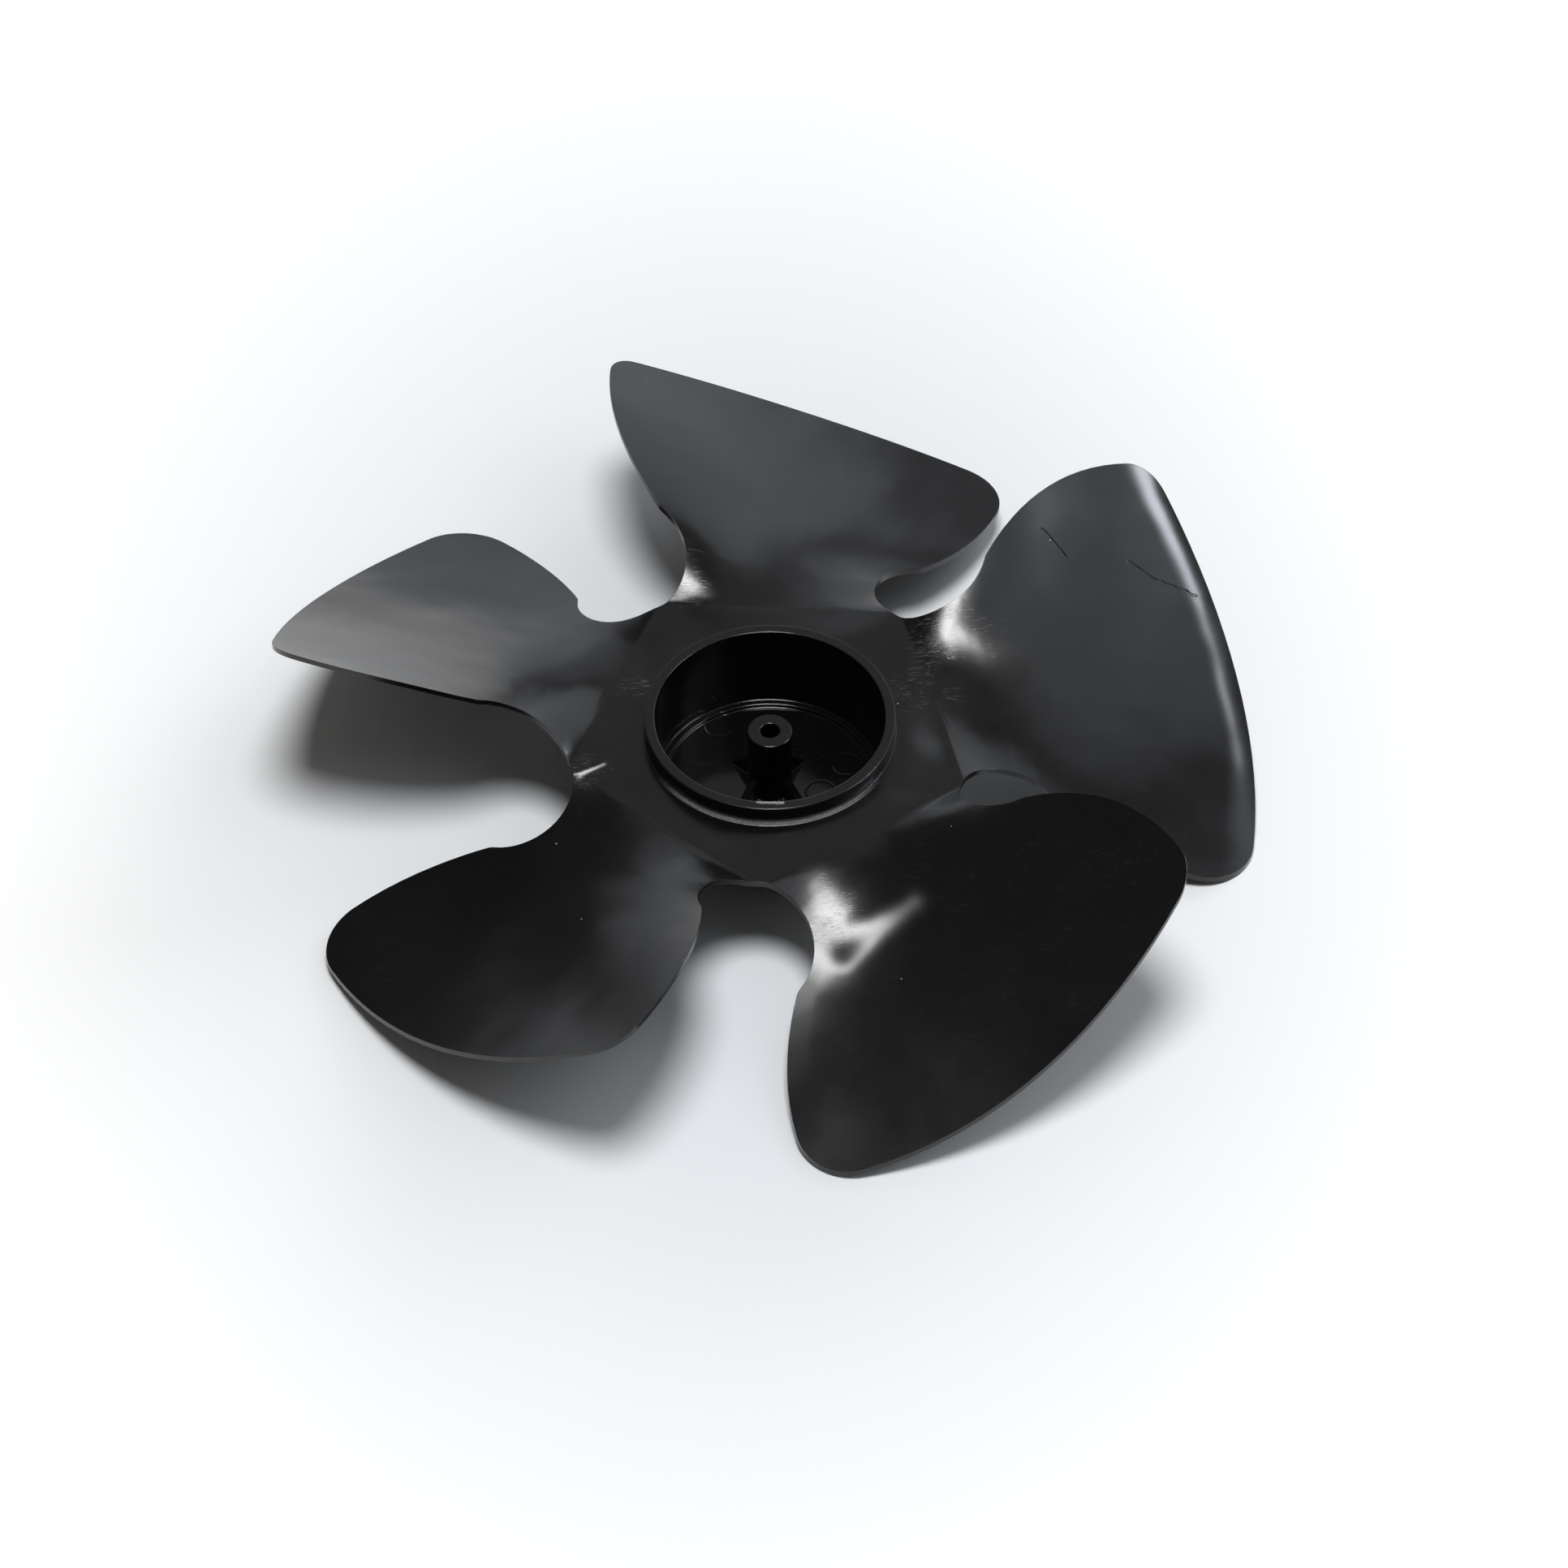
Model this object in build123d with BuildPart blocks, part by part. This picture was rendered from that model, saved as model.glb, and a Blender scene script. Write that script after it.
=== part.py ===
"""Refrigerator condenser fan blade: one plastic moulding with a cup hub, a web and five blades.

Millimetres. +Z runs up the shaft axis, towards the open end of the cup. The origin is on that axis, in the
plane of the cup's underside, and the back blade lies nearly along +Y.
"""
import os
from math import atan2, cos, degrees, isclose, radians, sin, tan

from build123d import *

# Whole fan
tip_radius = 100.0
back_blade_angle = 87.4  # of the back blade's middle line, about +Z from +X
plate_thickness = 1.4  # of the web and the blades, measured along Z

# Hub cup
cup_radius = 25.6
cup_wall = 2.1
cup_height = 23.0
floor_thickness = 2.0
floor_step_width = 1.5
floor_step_height = 0.8

# Shaft boss in the cup
bore_diameter = 4.0
boss_diameter = 9.1
boss_height = 16.5  # above the floor
gusset_count = 4
gusset_angle = 48.0
gusset_reach = 10.0  # from the shaft axis
gusset_height = 5.5  # against the boss
gusset_thickness = 1.5

# Web, a flat plate with a side for each blade
web_height = 18.4  # of the middle of the plate
web_apothem = 34.1

# Gaps between the blades in plan: a round inner end between two bulging flanks
gap_bottom_radius = 41.5  # from the shaft axis to the inner end
gap_end_radius = 11.5
low_flank_radius = 54.0
low_flank_station = 73.0  # how far out the flank comes nearest to the gap's middle line
low_flank_clearance = 7.2  # and how near it comes
high_flank_radius = 51.6
high_flank_station = 62.6
high_flank_clearance = 10.2
neck_radius = 3.0  # where a flank meets the inner end
low_corner_radius = 11.5
high_corner_radius = 7.6

# Blade surface, drawn by rows of poles from the web's side to the tip
pole_rows = 7
flat_rows = 2  # that lie flat, so that the blade leaves the web smoothly
row_spread = 1.6  # power by which the rows draw apart towards the tip
pitch = 25.4  # degrees across the blade
camber_radius = 167.0
root_rise = 1.2  # of the blade's middle line where it turns
droop = 6.5  # of the blade's middle line, from the web to the tip

# How far each blade's tip has bent up in use, and the degrees that it has twisted, clockwise from the back
blade_set = [(-0.7, -4.0), (-3.7, 0.2), (0.7, 3.0), (-2.7, -0.7), (7.0, 3.0)]

blade_count = len(blade_set)
half_sector = 180 / blade_count
cup_inner_radius = cup_radius - cup_wall
boss_radius = boss_diameter / 2
bore_radius = bore_diameter / 2
boss_middle = (bore_radius + boss_radius) / 2
boss_top = floor_thickness + boss_height
gusset_slope = gusset_height / (gusset_reach - boss_radius)
web_bottom = web_height - plate_thickness / 2
gap_end_station = gap_bottom_radius + gap_end_radius
blade_half_width = tip_radius * sin(radians(half_sector))


def blade_poles(tip_lift, twist):
    """Rows of poles of a blade's underside, each across the blade, which lies along +X."""
    rows = []
    for row in range(pole_rows):
        out = (row / (pole_rows - 1)) ** row_spread
        station = web_apothem + (tip_radius - web_apothem) * out
        middle = web_bottom + (tip_lift - droop) * out**2
        rise = 0
        crown = 0
        if row >= flat_rows:
            middle += root_rise
            rise = tan(radians(pitch + twist)) * blade_half_width
            crown = blade_half_width**2 / camber_radius / 2
        rows.append(
            [
                (station, -blade_half_width, middle - rise + crown),
                (station, 0, middle - crown),
                (station, blade_half_width, middle + rise + crown),
            ]
        )
    return rows


def at_tip(vertex):
    """Whether a point of the outline lies on the tip circle."""
    return isclose(Vector(vertex).length, tip_radius, rel_tol=1e-6)


def flank_side(vertex):
    """Angle of a point of the outline from the middle of its gap: positive on the low flank."""
    angle = degrees(atan2(vertex.Y, vertex.X)) - half_sector
    return (angle + half_sector) % (2 * half_sector) - half_sector


# Outline in plan, with a blade along +X: the tip circle less a gap between each two blades
with BuildSketch() as gap:
    with Locations((gap_end_station + gap_end_radius / 4, 0)):
        Rectangle(2 * tip_radius, tip_radius, align=(Align.MIN, Align.CENTER))
    with Locations((low_flank_station, low_flank_clearance + low_flank_radius)):
        Circle(low_flank_radius, mode=Mode.SUBTRACT)
    with Locations((high_flank_station, -high_flank_clearance - high_flank_radius)):
        Circle(high_flank_radius, mode=Mode.SUBTRACT)
    with Locations((gap_end_station, 0)):
        Circle(gap_end_radius)

with BuildSketch() as planform:
    Circle(tip_radius)
    with PolarLocations(0, blade_count, start_angle=half_sector):
        add(gap.sketch, mode=Mode.SUBTRACT)
    fillet(planform.vertices().filter_by(lambda v: not at_tip(v)), neck_radius)
    fillet(planform.vertices().filter_by(lambda v: at_tip(v) and flank_side(v) > 0), low_corner_radius)
    fillet(planform.vertices().filter_by(lambda v: at_tip(v) and flank_side(v) < 0), high_corner_radius)

with BuildSketch() as blade_outline:
    sector_end = tip_radius * tan(radians(half_sector))
    Polygon((0, 0), (tip_radius, -sector_end), (tip_radius, sector_end), align=None)
    add(planform.sketch, mode=Mode.INTERSECT)

# Blades, each a curved sheet trimmed to the outline
blades = []
for tip_lift, twist in blade_set:
    with BuildPart() as blade:
        extrude(Face.make_bezier_surface(blade_poles(tip_lift, twist)), plate_thickness, dir=(0, 0, 1))
        extrude(blade_outline.sketch, 2 * tip_radius, both=True, mode=Mode.INTERSECT)
    blades.append(blade.part)

# Web plate, with the gaps' inner ends cut from its corners and the cup's place left open
with BuildPart() as web:
    with BuildSketch(Plane.XY.offset(web_height)):
        RegularPolygon(web_apothem, blade_count, major_radius=False, rotation=half_sector)
        Circle(cup_radius - cup_wall / 2, mode=Mode.SUBTRACT)
    extrude(amount=plate_thickness / 2, both=True)
    extrude(planform.sketch, 2 * tip_radius, mode=Mode.INTERSECT)

# Cup, floor and bored boss turned about the shaft axis, then the gussets
with BuildPart() as hub:
    with BuildSketch(Plane.XZ):
        with BuildLine():
            Polyline(
                (bore_radius, 0),
                (cup_radius, 0),
                (cup_radius, cup_height),
                (cup_inner_radius, cup_height),
                (cup_inner_radius, floor_thickness + floor_step_height),
                (cup_inner_radius - floor_step_width, floor_thickness + floor_step_height),
                (cup_inner_radius - floor_step_width, floor_thickness),
                (boss_radius, floor_thickness),
                (boss_radius, boss_top),
                (bore_radius, boss_top),
                close=True,
            )
        make_face()
    revolve(axis=Axis.Z)
    for number in range(gusset_count):
        turn = radians(gusset_angle + 360 / gusset_count * number)
        with BuildSketch(Plane((0, 0, 0), x_dir=(cos(turn), sin(turn), 0), z_dir=(sin(turn), -cos(turn), 0))):
            with BuildLine():
                Polyline(
                    (boss_middle, floor_thickness),
                    (gusset_reach, floor_thickness),
                    (boss_middle, floor_thickness + gusset_slope * (gusset_reach - boss_middle)),
                    close=True,
                )
            make_face()
        extrude(amount=gusset_thickness / 2, both=True)

with BuildPart() as fan_blade:
    add(hub.part)
    add(web.part, rotation=(0, 0, back_blade_angle))
    for place, plain_blade in enumerate(blades):
        add(plain_blade, rotation=(0, 0, back_blade_angle - 2 * half_sector * place))

fan_blade.part.label = "fan_blade"
os.makedirs("parts", exist_ok=True)
export_step(fan_blade.part, "parts/fan_blade.step")
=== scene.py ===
"""Looks of the refrigerator condenser fan blade: worn black plastic on a white table, in soft light."""
from math import cos, pi, radians, sin, tan

import bpy
from mathutils import Matrix, Vector


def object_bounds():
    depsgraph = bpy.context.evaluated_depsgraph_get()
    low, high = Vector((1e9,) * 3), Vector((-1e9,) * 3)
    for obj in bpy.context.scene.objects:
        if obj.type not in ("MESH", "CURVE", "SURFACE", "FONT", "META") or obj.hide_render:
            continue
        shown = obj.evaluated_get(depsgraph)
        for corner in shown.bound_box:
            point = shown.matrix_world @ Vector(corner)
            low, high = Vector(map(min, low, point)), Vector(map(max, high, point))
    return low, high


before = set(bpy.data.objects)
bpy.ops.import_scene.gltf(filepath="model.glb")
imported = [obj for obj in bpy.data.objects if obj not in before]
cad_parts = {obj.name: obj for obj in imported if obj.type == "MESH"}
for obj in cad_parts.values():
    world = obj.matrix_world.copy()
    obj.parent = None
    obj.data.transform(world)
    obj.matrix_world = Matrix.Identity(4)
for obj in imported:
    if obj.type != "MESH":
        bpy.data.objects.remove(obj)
cad_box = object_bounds()
scene = bpy.context.scene
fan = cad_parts["fan_blade"]

# Lengths of the fan, in metres
WEB_HEIGHT = 0.0184  # of the middle of the web's plate
WEB_TOP = 0.0191
CUP_RADIUS = 0.0256
CUP_INNER_RADIUS = 0.0235
CUP_HEIGHT = 0.0230
BACK_BLADE = radians(87.4)  # of the back blade's middle line, about +Z from +X
SECTOR = 2 * pi / 5

# Colours
WHITE = (1.0, 1.0, 1.0)
COOL = (0.93, 0.98, 1.06)
WARM = (1.0, 0.95, 0.90, 1)
BLACK = (0.0025, 0.0025, 0.0027, 1)
# Table colours: the near one is painted shade, darker and bluer near the fan; the far one is the table's white
TABLE_NEAR_PAINTED_SHADE = (0.77, 0.80, 0.83, 1)
TABLE_FAR = (0.975, 0.98, 0.985, 1)

# Camera, from where the fan lies in the photo
IMAGE = 1932  # pixels along each side of the photo
FOCAL = 6906.7  # in pixels
CAMERA_DISTANCE = 1.1415
CAMERA_ELEVATION = radians(47.812)
CAMERA_ROLL = radians(0.309)
MIDDLE_X, MIDDLE_Y = 948.3, 900.9  # pixel where the middle of the web falls

# Table: how far out its painted shade near the fan fades to white, and how far out and how strongly its
# painted glow, which is no lamp, whitens it
TABLE_REACH = 6.0
TABLE_NARROWING = (1, 0.7, 0)  # makes those zones longer from front to back
PAINTED_SHADE_FADE = 0.04, 0.15
PAINTED_GLOW_REACH = 0.11, 0.22
PAINTED_GLOW_STRENGTH = 0.16

# Bends at the roots: a line in plan, how far the bend reaches from it, and how the normals lean there
BENDS = [
    (((0.050, 0.036), (0.051, 0.050)), 0.020, (0.22, 0.0, 0.0)),
    (((0.034, 0.027), (0.043, 0.027)), 0.013, (0.18, -0.14, 0.0)),
    (((0.0094, -0.0466), (0.0152, -0.0555)), 0.009, (0.07, -0.08, 0.0)),
    (((0.0152, -0.0540), (0.0290, -0.0465)), 0.0055, (0.15, -0.15, 0.0)),
    (((-0.0395, -0.0135), (-0.0335, -0.0100)), 0.0016, (0.0, -0.34, 0.0)),
    (((-0.002, 0.046), (0.016, 0.044)), 0.024, (0.0, 0.16, 0.0)),
    (((-0.033, 0.002), (-0.033, 0.008)), 0.012, (0.08, 0.0, 0.0)),
    (((0.031, -0.012), (0.031, 0.010)), 0.014, (0.11, 0.0, 0.0)),
    (((-0.012, 0.032), (-0.004, 0.033)), 0.010, (-0.09, 0.0, 0.0)),
    (((-0.004, -0.034), (0.006, -0.035)), 0.010, (-0.09, 0.0, 0.0)),
]

# Turned-down tip of the right blade, which falls with the square of the distance from its start
LIP_MIDDLE = (0.0955, 0.0263)
LIP_REACH = 0.055, 0.030  # from its middle, where it ends and where it is full
LIP_START = 0.0935  # from the shaft axis
LIP_CURVE = -29.0

# Turn of the web into each blade, along the blade's middle line
TURN_START = 0.025
TURN_PEAK = 0.034
TURN_END = 0.047
TURN_SLOPE = 0.05

# Torn flash round the foot of the cup's wall, at the front, made paler there: real torn plastic, and its
# paleness also a painted highlight
FLASH_RADIUS = CUP_RADIUS + 0.0003
FLASH_WIDTH = 0.0008, 0.0003  # where it ends and where it is full
FLASH_HIGHLIGHT_FRONT = -0.012, -0.024

# Worn spots in plan, each with its reach
SCUFFS = [
    ((0.038, 0.024), 0.013),
    ((0.032, 0.012), 0.010),
    ((0.011, -0.046), 0.010),
    ((-0.0175, 0.040), 0.009),
    ((-0.036, -0.012), 0.006),
    ((-0.027, 0.012), 0.006),
]
SCUFF_CORE = 0.3  # share of the reach that is fully worn
CLUMPS = 0.42, 0.62  # of noise
SPOT_WEAR = 0.55
EVEN_WEAR = 0.05

# Scratches: their direction, features per metre along, across and up, and the noise that starts and fills them
SCRATCHES = [
    (0.6, (380, 4200, 900), (0.58, 0.68)),
    (2.2, (450, 4800, 900), (0.60, 0.70)),
]

# Dust: specks per metre, their size in shares of that, and the chance above which one is left
SPECKS = 190.0
SPECK_SIZE = 0.045, 0.02
SPECK_CHANCE = 0.86, 0.88

# Single marks in plan: knife cuts, pin marks on the cup's floor and a pale mark at the rim's front inner edge
CUTS = [
    ((0.0742, 0.0418), (0.0800, 0.0398)),
    ((0.0800, 0.0398), (0.0885, 0.0390)),
    ((0.0560, 0.0445), (0.0610, 0.0400)),
]
CUT_WIDTH = 0.0004, 0.0001  # where it ends and where it is full
WAVE = 0.0012  # span by which the cuts and the pale rim mark waver
PIN_MARKS = [(-0.0104, 0.0166), (0.0157, 0.0059), (0.0105, -0.0017)]
PIN_RADIUS = 0.003
PIN_WIDTH = 0.0004
RIM_PALE_MARK = (-0.0022, -0.0236), (0.0026, -0.0237)
PALE_MARK_WIDTH = 0.0006, 0.0002
PALE_MARK_DEPTH = 0.001

# Bump heights
SWELL_HEIGHT = 0.0009
GRAIN_HEIGHT = 0.000005
SCRATCH_HEIGHT = 0.00001
CUT_HEIGHT = -0.0002
PIN_HEIGHT = -0.00006
FLASH_HEIGHT = 0.0004

# Roundings of edges
BLADE_ROUNDING = 0.00012
HUB_ROUNDING = 0.0004  # more than the blades'

# Roughness, and what changes it
ROUGH_LEAST = 0.17
ROUGH_SPREAD = 0.10
ROUGH_WORN = 0.05
ROUGH_CUP = -0.1
ROUGH_DUST = 0.5

# How pale the marks are
PALE_SCRATCH = 0.24
PALE_DUST = 0.6
PALE_FLASH_AND_HIGHLIGHT = 0.35
PALE_RIM_MARK = 0.5


def make_camera():
    """Camera with the photo's view of the fan."""
    back = Vector((0, -cos(CAMERA_ELEVATION), sin(CAMERA_ELEVATION)))
    right = Vector((1, 0, 0))
    up = back.cross(right)
    off_x = (MIDDLE_X - IMAGE / 2) * CAMERA_DISTANCE / FOCAL
    off_y = (MIDDLE_Y - IMAGE / 2) * CAMERA_DISTANCE / FOCAL
    eye = Vector((0, 0, WEB_HEIGHT)) + back * CAMERA_DISTANCE - right * off_x + up * off_y
    side = cos(CAMERA_ROLL) * right + sin(CAMERA_ROLL) * up
    top = -sin(CAMERA_ROLL) * right + cos(CAMERA_ROLL) * up
    data = bpy.data.cameras.new("camera")
    data.sensor_fit = "HORIZONTAL"
    data.sensor_width = 36
    data.lens = data.sensor_width * FOCAL / IMAGE
    data.clip_end = 50
    camera = bpy.data.objects.new("camera", data)
    camera.matrix_world = Matrix.Translation(eye) @ Matrix((side, top, back)).transposed().to_4x4()
    scene.collection.objects.link(camera)
    scene.camera = camera


def lamp(name, azimuth, elevation, distance, width, height, radiance, colour, card=False, fill=False):
    """Elliptical soft box, its spans in degrees as seen from the fan. Azimuth runs from +Y towards +X.

    A card is only mirrored in glossy surfaces, and gives no other light. A fill isn't mirrored.
    """
    data = bpy.data.lights.new(name, "AREA")
    data.shape = "ELLIPSE"
    data.size = 2 * distance * tan(radians(width / 2))
    data.size_y = 2 * distance * tan(radians(height / 2))
    data.energy = radiance * pi * (pi / 4 * data.size * data.size_y)
    data.color = colour
    az = radians(azimuth)
    el = radians(elevation)
    towards = Vector((cos(el) * sin(az), cos(el) * cos(az), sin(el)))
    box = bpy.data.objects.new(name, data)
    box.location = towards * distance
    box.rotation_euler = towards.to_track_quat("Z", "Y").to_euler()
    box.visible_diffuse = not card
    box.visible_glossy = not fill
    scene.collection.objects.link(box)


class Graph:
    """Short calls for building a node tree."""

    def __init__(self, tree):
        self.tree = tree

    def node(self, kind, inputs=(), **settings):
        """New node with its settings, and its inputs set or linked by name or number."""
        made = self.tree.nodes.new(kind)
        for name, value in settings.items():
            setattr(made, name, value)
        for key, value in dict(inputs).items():
            self.feed(made.inputs[key], value)
        return made

    def feed(self, socket, value):
        """Set an input, or link it if the value is another node's output."""
        if isinstance(value, bpy.types.NodeSocket):
            self.tree.links.new(value, socket)
        else:
            socket.default_value = value

    def math(self, operation, *values):
        """Result of a Math node."""
        return self.node("ShaderNodeMath", enumerate(values), operation=operation).outputs[0]

    def vector(self, operation, inputs):
        """Vector result of a Vector Math node."""
        return self.node("ShaderNodeVectorMath", inputs, operation=operation).outputs["Vector"]

    def largest(self, *values):
        """The largest of several values."""
        best = values[0]
        for value in values[1:]:
            best = self.math("MAXIMUM", best, value)
        return best

    def step(self, value, low, high):
        """0 below low and 1 above high, smooth between; the other way round if low is the higher."""
        inputs = {"Value": value, "From Min": low, "From Max": high}
        return self.node("ShaderNodeMapRange", inputs, interpolation_type="SMOOTHSTEP").outputs[0]

    def noise(self, vector, scale, detail, roughness=0.5):
        """Noise from 0 to 1, with its scale in features per metre."""
        inputs = {"Vector": vector, "Scale": scale, "Detail": detail, "Roughness": roughness}
        return self.node("ShaderNodeTexNoise", inputs).outputs[0]

    def stretched(self, vector, angle, scale):
        """Coordinates turned about +Z and scaled, for streaks."""
        inputs = {"Vector": vector, "Rotation": (0, 0, angle), "Scale": scale}
        return self.node("ShaderNodeMapping", inputs).outputs[0]

    def length(self, x, y):
        """Length in plan."""
        return self.math("SQRT", self.math("MULTIPLY_ADD", x, x, self.math("MULTIPLY", y, y)))

    def from_point(self, x, y, point):
        """Distance in plan from a point."""
        return self.length(self.math("SUBTRACT", x, point[0]), self.math("SUBTRACT", y, point[1]))

    def from_line(self, x, y, line):
        """Distance in plan from a straight line between two points."""
        start, end = line
        run = Vector(end) - Vector(start)
        dx = self.math("SUBTRACT", x, start[0])
        dy = self.math("SUBTRACT", y, start[1])
        share = self.math("MULTIPLY", dx, run.x / run.length_squared)
        share = self.math("MULTIPLY_ADD", dy, run.y / run.length_squared, share)
        share = self.math("MINIMUM", self.math("MAXIMUM", share, 0.0), 1.0)
        off_x = self.math("MULTIPLY_ADD", share, -run.x, dx)
        off_y = self.math("MULTIPLY_ADD", share, -run.y, dy)
        return self.length(off_x, off_y)


def make_plastic():
    """Black moulded plastic: satin blades, a glossy cup, bends at the roots, scuffs, scratches and dust."""
    material = bpy.data.materials.new("black_plastic")
    material.use_nodes = True
    shader = material.node_tree.nodes["Principled BSDF"]
    g = Graph(material.node_tree)
    place = g.node("ShaderNodeTexCoord").outputs["Object"]
    x, y, z = g.node("ShaderNodeSeparateXYZ", {0: place}).outputs
    radius = g.length(x, y)

    # Angle from the nearest blade's middle line, and places along and across that blade
    turn = g.math("ADD", g.math("ARCTAN2", y, x), SECTOR / 2 - BACK_BLADE)
    turn = g.math("SUBTRACT", g.math("FLOORED_MODULO", turn, SECTOR), SECTOR / 2)
    along = g.math("MULTIPLY", radius, g.math("COSINE", turn))
    across = g.math("MULTIPLY", radius, g.math("SINE", turn))

    # Zones: inside the cup, on the hub, and the torn flash where the cup's wall stands on the web, kept to the
    # front, where its paleness is also a painted highlight
    in_cup = g.step(radius, CUP_INNER_RADIUS + 0.0002, CUP_INNER_RADIUS - 0.0002)
    on_hub = g.step(radius, CUP_RADIUS + 0.0006, CUP_RADIUS + 0.0002)
    from_wall = g.math("ABSOLUTE", g.math("SUBTRACT", radius, FLASH_RADIUS))
    low = g.step(z, WEB_TOP + FLASH_WIDTH[0], WEB_TOP + FLASH_WIDTH[1])
    flash_and_highlight = g.math("MULTIPLY", g.step(from_wall, *FLASH_WIDTH), low)
    flash_and_highlight = g.math("MULTIPLY", flash_and_highlight, g.step(y, *FLASH_HIGHLIGHT_FRONT))

    # Shallow shapes: the turned-down tip, the turn into each blade and the unevenness of the moulding
    lip = g.math("MAXIMUM", g.math("SUBTRACT", radius, LIP_START), 0.0)
    lip = g.math("MULTIPLY", g.math("MULTIPLY", lip, lip), LIP_CURVE)
    height = g.math("MULTIPLY", lip, g.step(g.from_point(x, y, LIP_MIDDLE), *LIP_REACH))
    turning = g.math("MULTIPLY", g.step(along, TURN_START, TURN_PEAK), g.step(along, TURN_END, TURN_PEAK))
    turning = g.math("MULTIPLY", turning, g.step(g.math("ABSOLUTE", turn), SECTOR / 2, SECTOR / 4))
    height = g.math("MULTIPLY_ADD", g.math("MULTIPLY", turning, across), TURN_SLOPE, height)
    swell = g.noise(place, scale=34, detail=1.5)
    height = g.math("MULTIPLY_ADD", swell, SWELL_HEIGHT, height)

    # Wear: clumps of fine scratches at the worn spots, and a few everywhere
    spots = g.largest(*[g.step(g.from_point(x, y, at), reach, SCUFF_CORE * reach) for at, reach in SCUFFS])
    clumps = g.step(g.noise(place, scale=110, detail=4, roughness=0.65), *CLUMPS)
    worn = g.math("MULTIPLY", clumps, EVEN_WEAR)
    worn = g.math("MULTIPLY_ADD", g.math("MULTIPLY", spots, clumps), SPOT_WEAR, worn)
    streaks = []
    for angle, scale, limits in SCRATCHES:
        streaks.append(g.step(g.noise(g.stretched(place, angle, scale), scale=1, detail=2), *limits))
    scratch = g.math("MULTIPLY", g.largest(*streaks), worn)

    # Dust specks
    specks = g.node("ShaderNodeTexVoronoi", {"Vector": place, "Scale": SPECKS})
    chance = g.node("ShaderNodeSeparateColor", {0: specks.outputs["Color"]}).outputs[0]
    dust = g.math("MULTIPLY", g.step(specks.outputs["Distance"], *SPECK_SIZE), g.step(chance, *SPECK_CHANCE))

    # Single marks
    wave = g.math("MULTIPLY_ADD", g.noise(place, scale=700, detail=3), WAVE, -WAVE / 2)
    wavy = g.math("ADD", y, wave)
    cut = g.largest(*[g.step(g.from_line(x, wavy, line), *CUT_WIDTH) for line in CUTS])
    rings = []
    for at in PIN_MARKS:
        from_ring = g.math("ABSOLUTE", g.math("SUBTRACT", g.from_point(x, y, at), PIN_RADIUS))
        rings.append(g.step(from_ring, PIN_WIDTH, 0.0))
    pins = g.math("MULTIPLY", g.largest(*rings), in_cup)
    # Pale mark at the rim's front inner edge, in colour only, with no bump
    rim_mark = g.step(g.from_line(x, wavy, RIM_PALE_MARK), *PALE_MARK_WIDTH)
    rim_mark = g.math("MULTIPLY", rim_mark, g.step(z, CUP_HEIGHT - PALE_MARK_DEPTH, CUP_HEIGHT))

    # Normals: rounded edges, bumps, and the bends that lean them
    grain = g.noise(place, scale=2600, detail=3, roughness=0.6)
    torn_and_highlight = g.math("MULTIPLY", flash_and_highlight, grain)
    height = g.math("MULTIPLY_ADD", grain, GRAIN_HEIGHT, height)
    height = g.math("MULTIPLY_ADD", scratch, SCRATCH_HEIGHT, height)
    height = g.math("MULTIPLY_ADD", cut, CUT_HEIGHT, height)
    height = g.math("MULTIPLY_ADD", pins, PIN_HEIGHT, height)
    height = g.math("MULTIPLY_ADD", torn_and_highlight, FLASH_HEIGHT, height)
    rounding = g.math("MULTIPLY_ADD", on_hub, HUB_ROUNDING, BLADE_ROUNDING)
    rounded = g.node("ShaderNodeBevel", {"Radius": rounding}, samples=6).outputs[0]
    inputs = {"Strength": 1.0, "Distance": 1.0, "Height": height, "Normal": rounded}
    facing = g.node("ShaderNodeBump", inputs).outputs[0]
    for line, reach, lean in BENDS:
        share = g.step(g.from_line(x, y, line), reach, 0.0)
        leaning = g.vector("SCALE", {0: lean, "Scale": share})
        facing = g.vector("ADD", {0: facing, 1: leaning})
    g.feed(shader.inputs["Normal"], g.vector("NORMALIZE", {0: facing}))

    patches = g.noise(place, scale=70, detail=5, roughness=0.6)
    rough = g.math("MULTIPLY_ADD", patches, ROUGH_SPREAD, ROUGH_LEAST)
    rough = g.math("MULTIPLY_ADD", worn, ROUGH_WORN, rough)
    rough = g.math("MULTIPLY_ADD", in_cup, ROUGH_CUP, rough)
    rough = g.math("MULTIPLY_ADD", dust, ROUGH_DUST, rough)
    g.feed(shader.inputs["Roughness"], rough)

    # Paler marks: scratches and dust as wear, the torn flash that is also a painted highlight at the front,
    # and the pale mark at the rim's front inner edge
    pale = g.math("MULTIPLY_ADD", scratch, PALE_SCRATCH, g.math("MULTIPLY", dust, PALE_DUST))
    pale = g.largest(pale, g.math("MULTIPLY", torn_and_highlight, PALE_FLASH_AND_HIGHLIGHT), g.math("MULTIPLY", rim_mark, PALE_RIM_MARK))
    colour = g.node("ShaderNodeMix", {"Factor": pale}, data_type="RGBA")
    g.feed(colour.inputs["A"], BLACK)
    g.feed(shader.inputs["Base Color"], colour.outputs["Result"])
    return material


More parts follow.
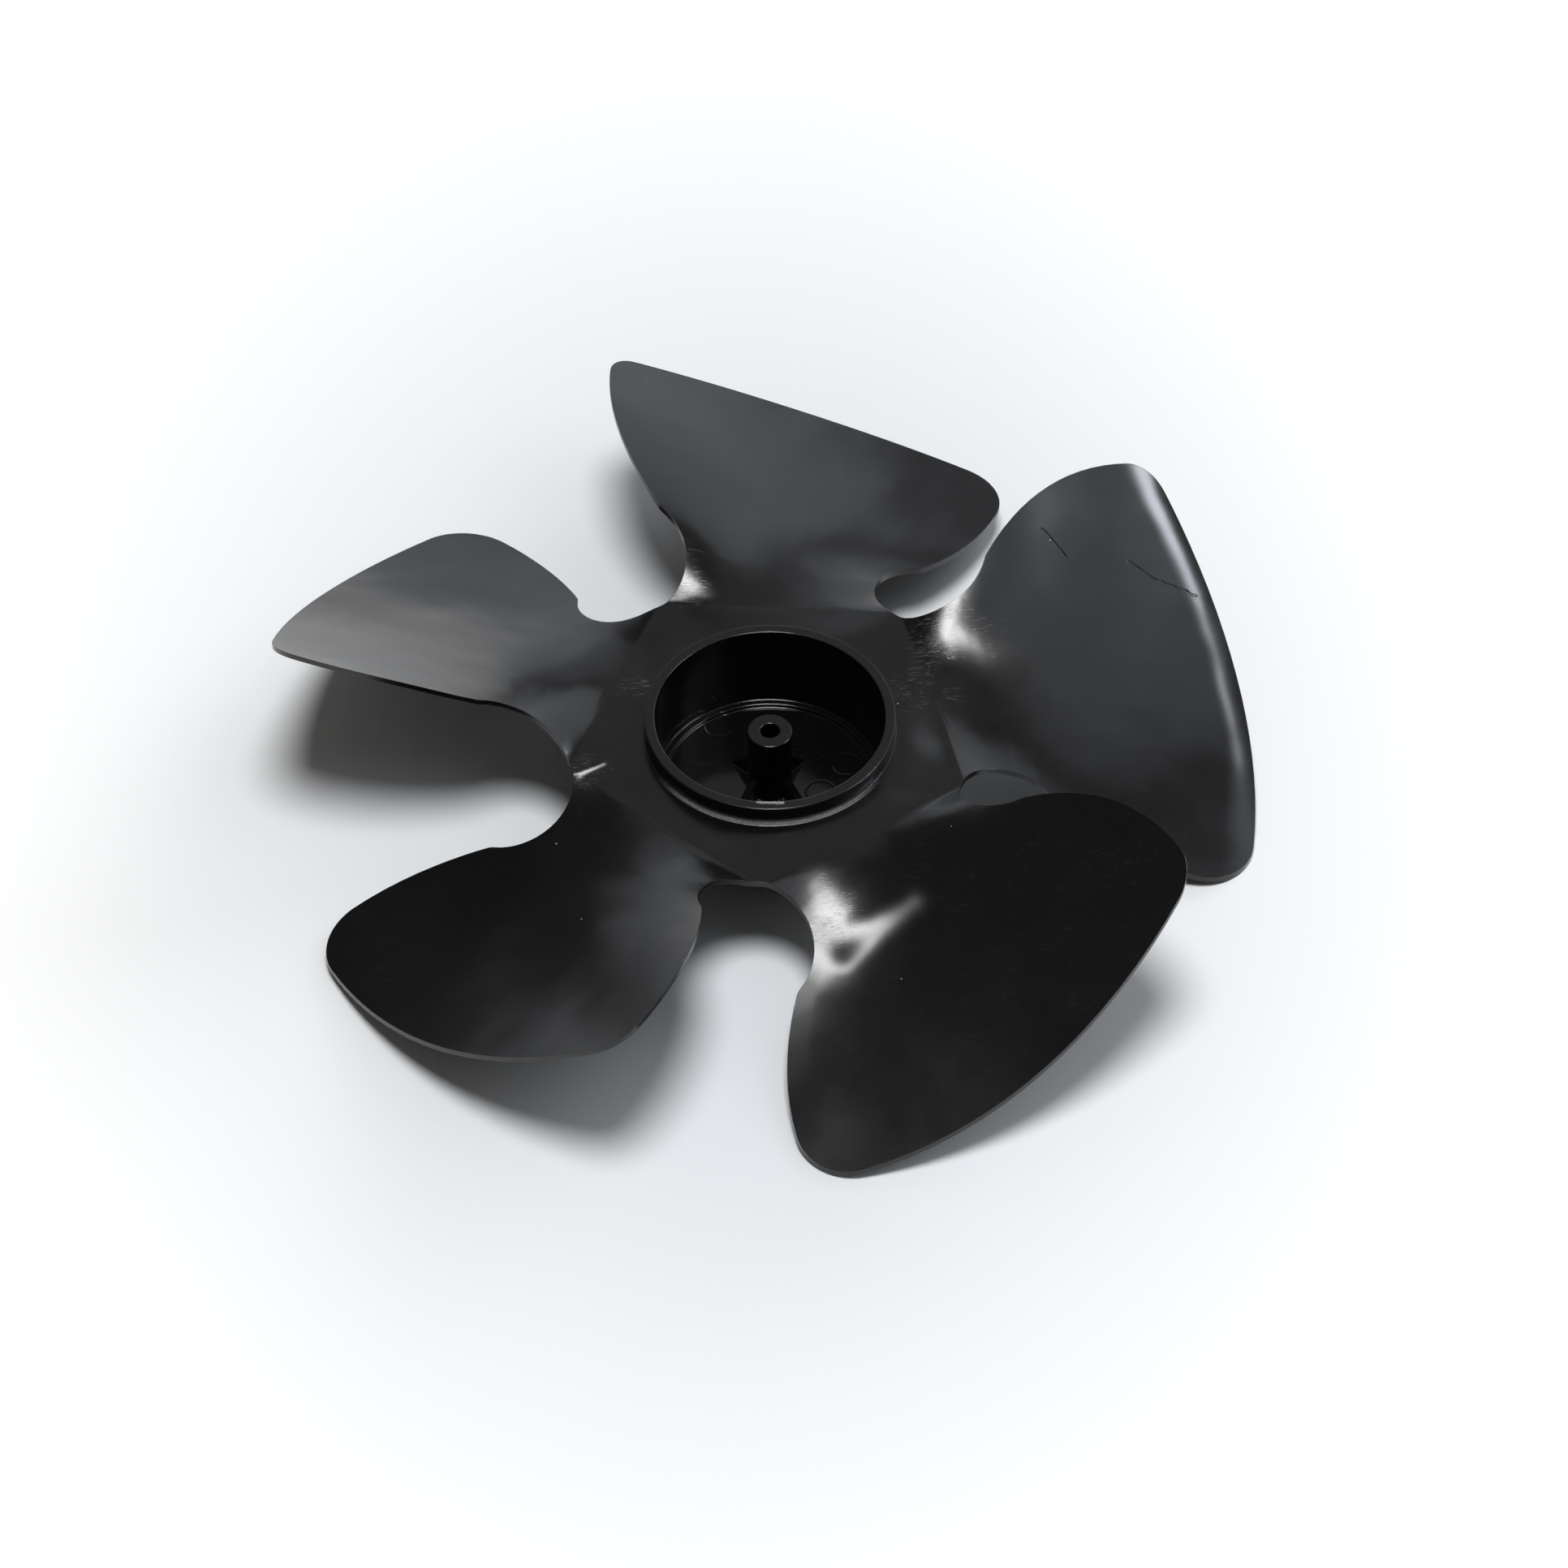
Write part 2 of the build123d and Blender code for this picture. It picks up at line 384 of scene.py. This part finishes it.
def make_floor():
    """White table that the fan lies on, with the fan's shadow; painted shade darkens it near the fan, and a
    painted glow whitens it further out.
    """
    material = bpy.data.materials.new("white_table")
    material.use_nodes = True
    shader = material.node_tree.nodes["Principled BSDF"]
    g = Graph(material.node_tree)
    place = g.node("ShaderNodeTexCoord").outputs["Object"]
    narrowed = g.vector("MULTIPLY", {0: place, 1: TABLE_NARROWING})
    from_middle = g.node("ShaderNodeVectorMath", {0: narrowed}, operation="LENGTH").outputs["Value"]
    rays = g.node("ShaderNodeLightPath").outputs
    seen = g.largest(rays["Is Camera Ray"], rays["Is Glossy Ray"], rays["Is Transmission Ray"])
    # Painted glow: emission seen only by the camera and in reflections, brighter further from the fan, though
    # the table is no lamp
    painted_glow = g.math("MULTIPLY", g.step(from_middle, *PAINTED_GLOW_REACH), PAINTED_GLOW_STRENGTH)
    g.feed(shader.inputs["Emission Strength"], g.math("MULTIPLY", painted_glow, seen))
    g.feed(shader.inputs["Emission Color"], (1, 1, 1, 1))
    # Painted shade: the table's colour darkens towards the fan
    painted_shade_mix = g.node("ShaderNodeMix", {"Factor": g.step(from_middle, *PAINTED_SHADE_FADE)}, data_type="RGBA")
    g.feed(painted_shade_mix.inputs["A"], TABLE_NEAR_PAINTED_SHADE)
    g.feed(painted_shade_mix.inputs["B"], TABLE_FAR)
    g.feed(shader.inputs["Base Color"], painted_shade_mix.outputs["Result"])
    g.feed(shader.inputs["Roughness"], 0.7)
    g.feed(shader.inputs["Specular IOR Level"], 0.2)
    mesh = bpy.data.meshes.new("floor")
    level = cad_box[0][2]
    signs = [(-1, -1), (1, -1), (1, 1), (-1, 1)]
    corners = [(across * TABLE_REACH, along * TABLE_REACH, level) for across, along in signs]
    mesh.from_pydata(corners, [], [(0, 1, 2, 3)])
    mesh.materials.append(material)
    floor = bpy.data.objects.new("floor", mesh)
    scene.collection.objects.link(floor)


make_camera()
make_floor()

# Azimuth, elevation, distance, width, height and radiance of each lamp
lamp("overhead", 180, 82, 1.6, 20, 20, 25.0, WHITE)
lamp("overhead_card", 180, 82, 1.5, 16, 16, 4.0, WHITE, card=True)
lamp("back_window", 42, 26, 2.2, 42, 46, 1.0, COOL)
lamp("back_fill", 50, 24, 2.2, 40, 30, 1.2, WHITE, fill=True)
lamp("right_window", 106, 58, 2.0, 40, 36, 0.8, COOL)
lamp("horizon_card", -8, 4, 2.2, 110, 24, 0.55, COOL, card=True)
lamp("back_card", -2, 24, 2.2, 30, 26, 0.45, COOL, card=True)
lamp("ceiling_card", 4, 52, 2.2, 36, 34, 0.26, WHITE, card=True)
lamp("side_strip", 92, 32, 2.0, 34, 14, 18.0, COOL, card=True)

world = bpy.data.worlds.new("studio")
world.use_nodes = True
world.node_tree.nodes["Background"].inputs["Color"].default_value = WARM
world.node_tree.nodes["Background"].inputs["Strength"].default_value = 0.1
scene.world = world

plastic = make_plastic()
for slot in fan.material_slots:
    slot.material = plastic

scene.view_settings.view_transform = "Standard"
